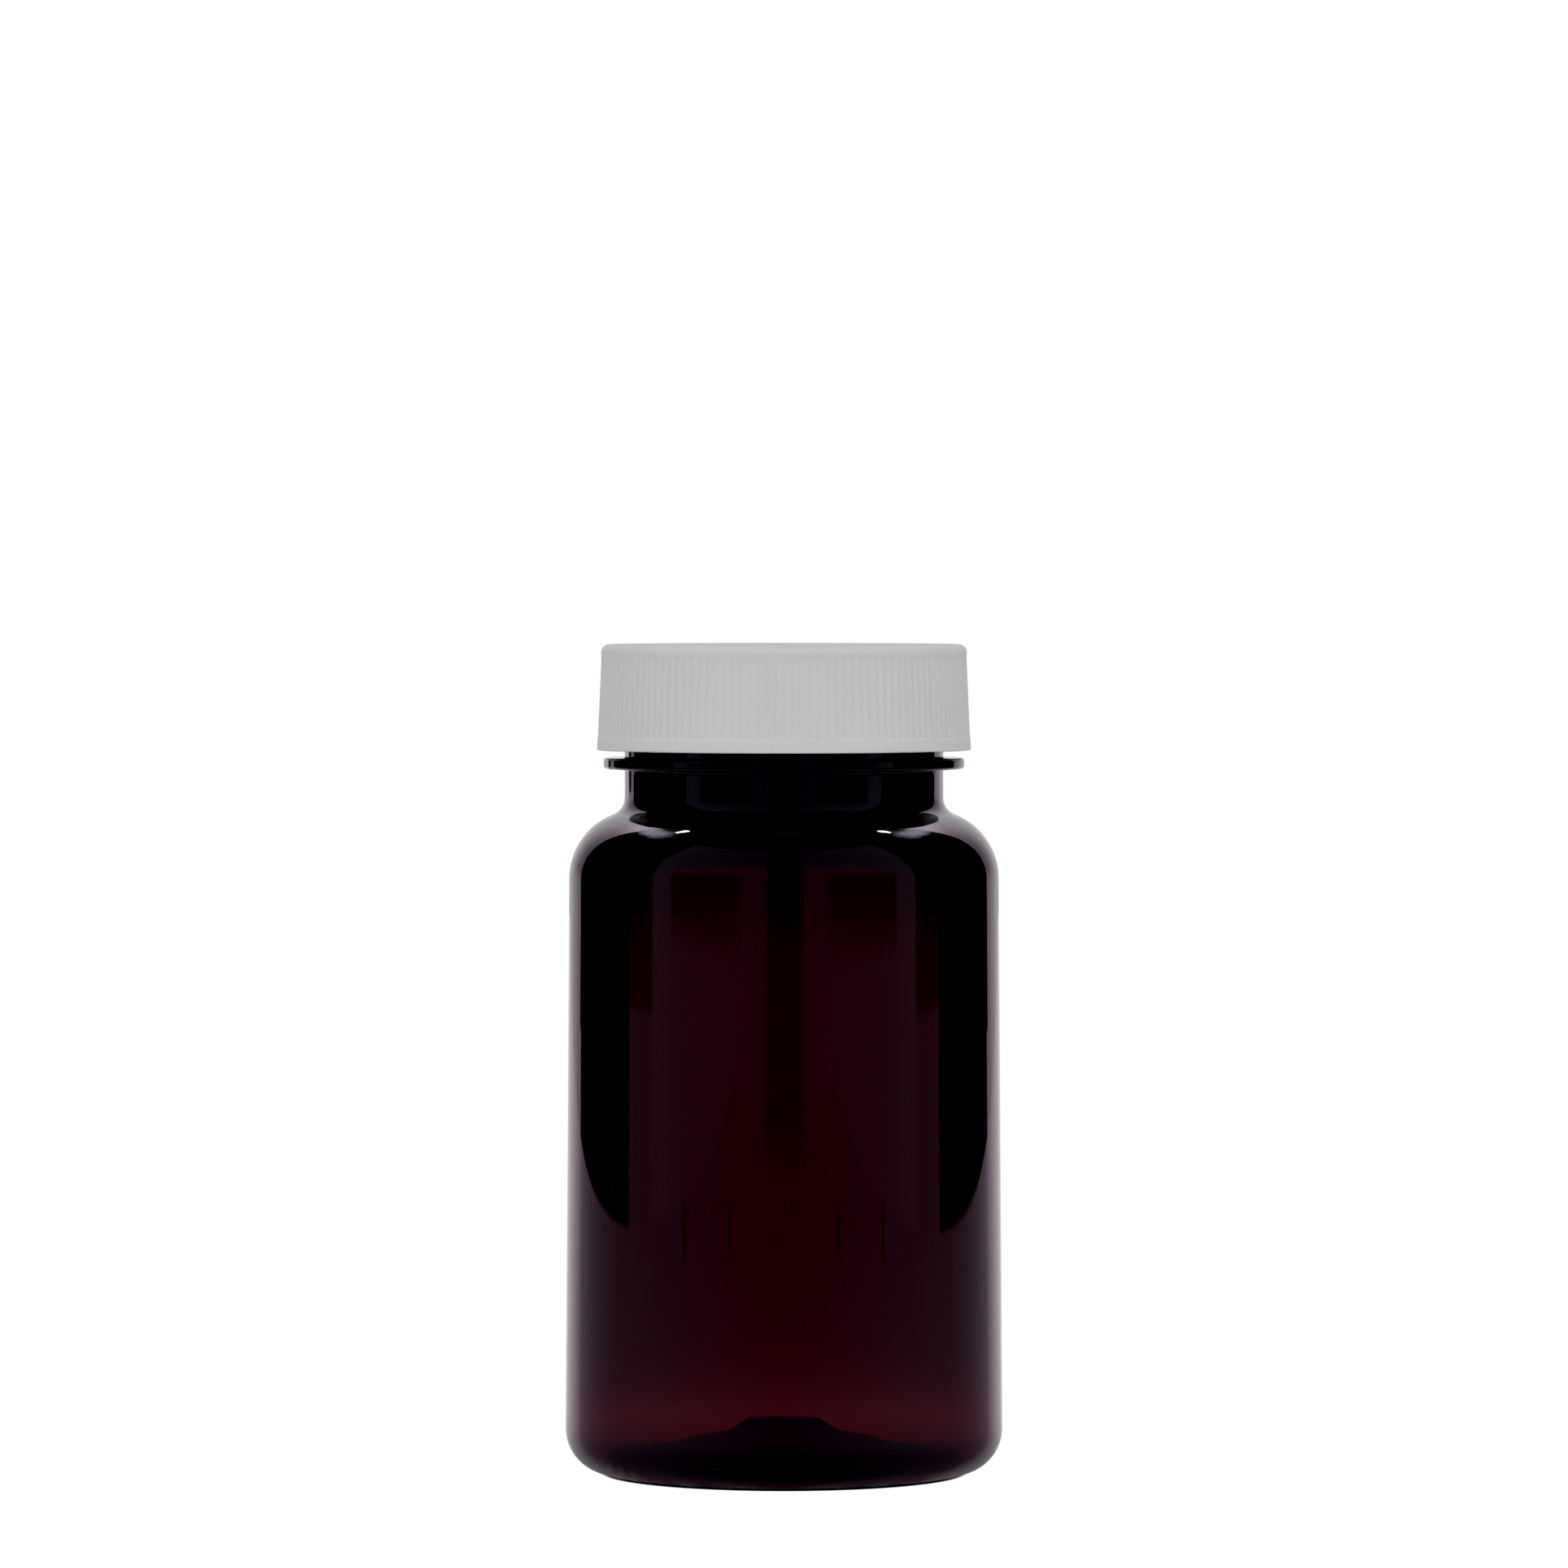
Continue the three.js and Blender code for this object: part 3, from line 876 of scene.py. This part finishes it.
PANEL_GLOW = (0.20, 0.20, 0.187, 0.18, 0.17, 0.158)
OBLONG_DEPTH = 0.08
OBLONG_OUTER, OBLONG_INNER = (117, 119), (158, 156)
OBLONG_BOTTOM, OBLONG_TOP = (-1.05, -0.75), (15.5, 14.0)


def backdrop_glow(azimuth, elevation):
    """Falls off to both sides, more steeply higher up, and brightens high overhead."""
    low = np.interp(np.abs(azimuth), ACROSS_AZIMUTHS, ACROSS_GLOW_LOW)
    high = np.interp(np.abs(azimuth), ACROSS_AZIMUTHS, ACROSS_GLOW_HIGH)
    across = high + (low - high) * smooth(*LOW_TO_HIGH, elevation)
    return across + np.interp(elevation, HIGH_ELEVATIONS, HIGH_GLOW)


def wing_glow(azimuth, elevation):
    """A slanting bank beside the backdrop: brightest in its middle, and dark above and below."""
    side = np.abs(azimuth)
    middle = np.interp(side, WING_AZIMUTHS, WING_MIDDLES)
    peak = np.interp(side, WING_AZIMUTHS, WING_PEAKS)
    haze = WING_HAZE * (elevation > HAZE_FROM) * (side > HAZE_SIDES[0]) * (side < HAZE_SIDES[1])
    return peak * np.exp(-(((elevation - middle) / WING_HALF_HEIGHT) ** 4)) + haze


def panel_glow(azimuth, elevation):
    """A dim panel, a little brighter at its outer edge, with a darker oblong across its middle."""
    side = np.abs(azimuth)
    across = np.interp(side, PANEL_AZIMUTHS, PANEL_GLOW)
    dark = smooth(*OBLONG_OUTER, side) * smooth(*OBLONG_INNER, side)
    dark = dark * smooth(*OBLONG_BOTTOM, elevation)
    return across - OBLONG_DEPTH * dark * smooth(*OBLONG_TOP, elevation)


def on_side(side, azimuths):
    """The same azimuths on the left, where side is -1, or on the right, where it is 1."""
    return (side * azimuths[0], side * azimuths[1])


middle_glow = [round(float(backdrop_glow(0.0, elevation)), 2) for elevation in (0, 20, 40)]
print("backdrop glow in its middle at 0, 20 and 40 degrees up:", middle_glow)

# %% Hang the cards
backdrop = (-BACKDROP_SIDE, BACKDROP_SIDE)
card("backdrop_card", backdrop, (LOW_EDGE, BACKDROP_TOP), backdrop_glow, (42, 56))
for side, word in ((-1, "left"), (1, "right")):
    wing, lamp, foot = (on_side(side, pair) for pair in (WING_SIDES, LAMP_SIDES, FOOT_SIDES))
    panel, flag, seam = (on_side(side, pair) for pair in (PANEL_SIDES, FLAG_SIDES, SEAM_SIDES))
    card(f"wing_{word}", wing, WING_ELEVATIONS, wing_glow, (32, 32), 0.0, WING_CAST)
    card(f"lamp_{word}", lamp, LAMP_ELEVATIONS, LAMP_STRENGTH, (8, 4), LAMP_SLANT, WING_CAST)
    card(f"backdrop_foot_{word}", foot, (LOW_EDGE, FOOT_TOP), FOOT_GLOW, (3, 4))
    card(f"front_panel_{word}", panel, (LOW_EDGE, PANEL_TOP), panel_glow, (130, 120))
    card(f"front_step_{word}", flag, (LOW_EDGE, STEP_TOP), STEP_GLOW, (6, 4))
    card(f"front_flag_{word}", flag, (STEP_TOP, PANEL_TOP), FLAG_GLOW, (6, 30))
    card(f"panel_seam_{word}", seam, SEAM_ELEVATIONS, SEAM_GLOW, (2, 8))
cards = [o.name for o in bpy.data.objects if o.data and "glow" in getattr(o.data, "attributes", {})]
print("cards on the sphere:", len(cards))

# %% [markdown]
# The table is seen in the lower half of the bottle. A ray that leaves the wall a few degrees
# below level meets the table tens of centimetres away, which is why its side edge cuts the black
# bands off in a curve. Close to the bottle the table is in the bottle's own shade. It darkens in
# front of the camera, and two thin dark marks lie on it to either side.

# %% Table seen by reflections
TABLE_HALF_WIDTH = 0.447
TABLE_FRONT = -0.9
TABLE_BACK = 1.6
TABLE_Z = -0.0001
MIRROR_RADIUS = 0.024
FOOT_EDGE = (0.0194, 0.0205)
FRONT_AZIMUTHS = (42, 90)
CAMERA_GAP_AZIMUTHS = (168.5, 170.5)
CAMERA_GAP_DISTANCES = (0.6, 0.88)
TABLE_BY_AZIMUTH = np.array([
    (0, 1.0), (12, 0.92), (16, 0.88), (20, 0.84), (24, 0.84), (28, 0.82), (32, 0.76),
    (36, 0.68), (40, 0.54), (44, 0.34), (50, 0.28), (56, 0.24), (62, 0.21), (68, 0.19),
    (76, 0.175), (84, 0.172), (92, 0.185), (100, 0.19), (118, 0.185), (130, 0.175),
    (145, 0.162), (160, 0.15), (180, 0.134),
])
SHADE_BY_DISTANCE = np.array([
    (0.019, 0.15), (0.025, 0.36), (0.031, 0.58), (0.048, 0.8), (0.08, 0.9), (0.13, 0.94),
    (0.5, 1.0),
])
FRONT_BY_DISTANCE = np.array([
    (0.019, 0.4), (0.025, 0.68), (0.031, 0.86), (0.048, 1.05), (0.13, 1.09), (0.3, 1.02),
    (0.5, 0.93),
])


def seen_azimuth(x, y):
    """Compass angle of the ray that leaves the bottle's side and meets the table at (x, y).

    A mirror cylinder of radius R sends the camera's view at angle a along a line whose distance
    from the axis is R cos(a/2), so a = angle from the axis - asin(R cos(a/2) / distance). Putting
    each a back into the right side a dozen times settles it.
    """
    from_axis = np.abs(np.arctan2(x, y))
    distance = np.maximum(np.hypot(x, y), 0.001)
    a = from_axis
    for _ in range(12):
        sine = np.clip(MIRROR_RADIUS * np.cos(a / 2) / distance, 0.0, 1.0)
        a = np.maximum(from_axis - np.arcsin(sine), 0.0)
    return np.degrees(a)


def table_light(x, y):
    """Bright towards the backdrop and dim elsewhere, shaded round the foot, dark by the camera."""
    azimuth = seen_azimuth(x, y)
    distance = np.hypot(x, y)
    base = np.interp(azimuth, *TABLE_BY_AZIMUTH.T)
    shade = np.interp(distance, *SHADE_BY_DISTANCE.T)
    front = np.interp(distance, *FRONT_BY_DISTANCE.T)
    mix = smooth(*FRONT_AZIMUTHS, azimuth)
    gap = smooth(*CAMERA_GAP_AZIMUTHS, azimuth) * smooth(*CAMERA_GAP_DISTANCES, distance)
    light = base * (shade + (front - shade) * mix) * smooth(*FOOT_EDGE, distance) * (1.0 - gap)
    return with_cast(azimuth, light)


def make_table_card():
    """A flat grid, finer near the bottle, a tenth of a millimetre below its base."""
    x = TABLE_HALF_WIDTH * np.linspace(-1, 1, 181) ** 3
    front = TABLE_FRONT * np.linspace(1, 0, 90) ** 3
    y = np.concatenate([front, TABLE_BACK * np.linspace(0, 1, 110)[1:] ** 3])
    grid_x, grid_y = np.meshgrid(x, y)
    points = np.stack([grid_x, grid_y, np.full(grid_x.shape, TABLE_Z)], axis=2)
    return grid_object("table_card", points, table_light(grid_x, grid_y))


make_table_card()
print("table card, m:", 2 * TABLE_HALF_WIDTH, "wide and", TABLE_BACK - TABLE_FRONT, "deep")

# %% Marks on the table: compass angle in degrees, nearest and farthest reach in metres
MARK_OUTER = (126.3, 0.35, 0.54)
MARK_INNER = (151.4, 0.38, 0.55)
MARK_HALF_WIDTH = 0.011
MARK_DARK_SHARE = 0.5
MARK_Z = -0.00005


def table_mark(name, side, azimuth, near, far):
    """A finer patch of the table with a dark spindle in it, drawn out along one reflected ray.

    The ray leaves the side wall where its normal is turned n = (180 - azimuth) / 2 from the camera,
    at R (sin n, -cos n), and runs to the distances near and far.
    """
    a, n = math.radians(azimuth), math.radians((180 - azimuth) / 2)
    along = np.linspace(0.0, 1.0, 25)[:, None] + np.zeros((1, 25))
    across = np.linspace(-1.0, 1.0, 25)[None, :] + np.zeros((25, 1))
    reach = near + (far - near) * along
    radius = BODY_RADIUS * MM
    offset = MARK_HALF_WIDTH * across
    x = side * (radius * math.sin(n) + reach * math.sin(a) + offset * math.cos(a))
    y = -radius * math.cos(n) + reach * math.cos(a) - offset * math.sin(a)
    taper = smooth(0.0, 0.3, along) * smooth(1.0, 0.8, along)
    spindle = np.exp(-((across / MARK_DARK_SHARE) ** 4)) * taper
    light = table_light(x, y) * (1.0 - spindle)[..., None]
    points = np.stack([x, y, np.full(x.shape, MARK_Z)], axis=2)
    return grid_object(name, points, light)


for side, word in ((-1, "left"), (1, "right")):
    table_mark(f"mark_outer_{word}", side, *MARK_OUTER)
    table_mark(f"mark_inner_{word}", side, *MARK_INNER)
marks = [o.name for o in bpy.data.objects if o.name.startswith("mark_")]
print("marks on the table:", len(marks))

# %% [markdown]
# ## Floor and surround
#
# The floor is a plain pale sheet that runs into a white surround, so no horizon shows. The world
# colour depends on which kind of ray asks for it: white for the camera and through the plastic,
# brighter for matt surfaces, and black for reflections, which the cards serve. Matt surfaces also
# see a grey ceiling and a grey floor, which keep the top edge and the foot of the cap from glaring.

# %% Floor
FLOOR_HALF = 6.0
FLOOR_WHITE = 1.03
UNDERSIDE_GREY = 0.17
CEILING_GREY = 0.3
CEILING_HEIGHT = 2.5
FOOT_RADIUS = 0.0195
FOOT_SOFTNESS = 0.0008
FLOOR_Z = -0.0002
GREY_Z = -0.0003


def flat_light(name, strength, z, shaded=False):
    """A large square of even light at height z; shaded leaves it black under the bottle's foot."""
    mesh = bpy.data.meshes.new(name)
    corners = [(-1, -1), (1, -1), (1, 1), (-1, 1)]
    mesh.from_pydata([(x * FLOOR_HALF, y * FLOOR_HALF, z) for x, y in corners], [], [(0, 1, 2, 3)])
    made = bpy.data.objects.new(name, mesh)
    bpy.context.scene.collection.objects.link(made)
    finish = Finish(name)
    colour = (1.0, 1.0, 1.0, 1.0)
    if shaded:
        place = finish.stretched(finish.place(), (1.0, 1.0, 0.0))
        length = {"operation": "LENGTH"}
        radius = finish.node("ShaderNodeVectorMath", length, {0: place}, output="Value")
        clear = radius.above(FOOT_RADIUS, FOOT_RADIUS + FOOT_SOFTNESS)
        colour = finish.mix(clear, (0.0, 0.0, 0.0, 1.0), colour)
    light = finish.node("ShaderNodeEmission", inputs={"Color": colour, "Strength": strength})
    finish.links.new(light.socket, finish.output.inputs["Surface"])
    finish.material.cycles.emission_sampling = "NONE"
    mesh.materials.append(finish.material)
    made.visible_glossy = False
    made.visible_shadow = False
    return made


floor = flat_light("floor_white", FLOOR_WHITE, FLOOR_Z, shaded=True)
floor.visible_diffuse = False
floor_grey = flat_light("floor_grey", UNDERSIDE_GREY, GREY_Z)
ceiling_grey = flat_light("ceiling_grey", CEILING_GREY, CEILING_HEIGHT)
for sheet in (floor_grey, ceiling_grey):
    sheet.visible_camera = False
    sheet.visible_transmission = False

# %% Surround
DIFFUSE_LEVEL = 1.54


def make_world():
    """White for the camera and through the plastic, DIFFUSE_LEVEL for matt, black in gloss."""
    world = bpy.data.worlds.new("surround")
    bpy.context.scene.world = world
    world.use_nodes = True
    nodes, links = world.node_tree.nodes, world.node_tree.links
    ray = nodes.new("ShaderNodeLightPath")
    background = nodes["Background"]
    matt = nodes.new("ShaderNodeMath")
    matt.operation = "MULTIPLY_ADD"
    matt.inputs[1].default_value = DIFFUSE_LEVEL - FLOOR_WHITE
    matt.inputs[2].default_value = FLOOR_WHITE
    gloss = nodes.new("ShaderNodeMath")
    gloss.operation = "MULTIPLY_ADD"
    gloss.inputs[1].default_value = -FLOOR_WHITE
    links.new(ray.outputs["Is Diffuse Ray"], matt.inputs[0])
    links.new(ray.outputs["Is Glossy Ray"], gloss.inputs[0])
    links.new(matt.outputs[0], gloss.inputs[2])
    background.inputs["Color"].default_value = (1.0, 1.0, 1.0, 1.0)
    links.new(gloss.outputs[0], background.inputs["Strength"])


make_world()
print("light on matt surfaces:", DIFFUSE_LEVEL, "round about and", CEILING_GREY, "from above")

# %% [markdown]
# Two soft boxes beside the camera give the cap some shape: its middle a little lighter than its
# sides, and each rib a light crest between darker flanks. Reflections and plastic ignore them.

# %% Soft boxes for the cap
SOFT_BOX_WATTS = 1.6
SOFT_BOX_SIZE = 0.7
SOFT_BOX_DISTANCE = 1.3
CAP_MIDDLE_Z = 0.08


def soft_box(name, azimuth, elevation):
    """A square area light that looks at the cap and that only matt surfaces see."""
    data = bpy.data.lights.new(name, "AREA")
    data.size = SOFT_BOX_SIZE
    data.energy = SOFT_BOX_WATTS
    box = bpy.data.objects.new(name, data)
    bpy.context.scene.collection.objects.link(box)
    a, e = math.radians(azimuth), math.radians(elevation)
    reach, rise = SOFT_BOX_DISTANCE * math.cos(e), SOFT_BOX_DISTANCE * math.sin(e)
    box.location = (reach * math.sin(a), reach * math.cos(a), CAP_MIDDLE_Z + rise)
    box.rotation_euler = (math.pi / 2 - e, 0.0, math.pi - a)
    box.visible_glossy = False
    box.visible_transmission = False
    box.visible_camera = False


soft_box("soft_box_left", -152, 22)
soft_box("soft_box_right", 152, 22)

# %% [markdown]
# ## How the picture is developed
#
# The standard view keeps white paper white. The darkest tones are pressed to black, as a product
# picture is developed, with the black point of the display curve.

# %% Display
BLACK_POINT = 0.008
scene = bpy.context.scene
scene.view_settings.view_transform = "Standard"
scene.view_settings.look = "None"
scene.view_settings.use_curve_mapping = True
curves = scene.view_settings.curve_mapping
curves.black_level = (BLACK_POINT,) * 3
curves.update()
print("display:", scene.view_settings.view_transform, "with its black point at", BLACK_POINT)
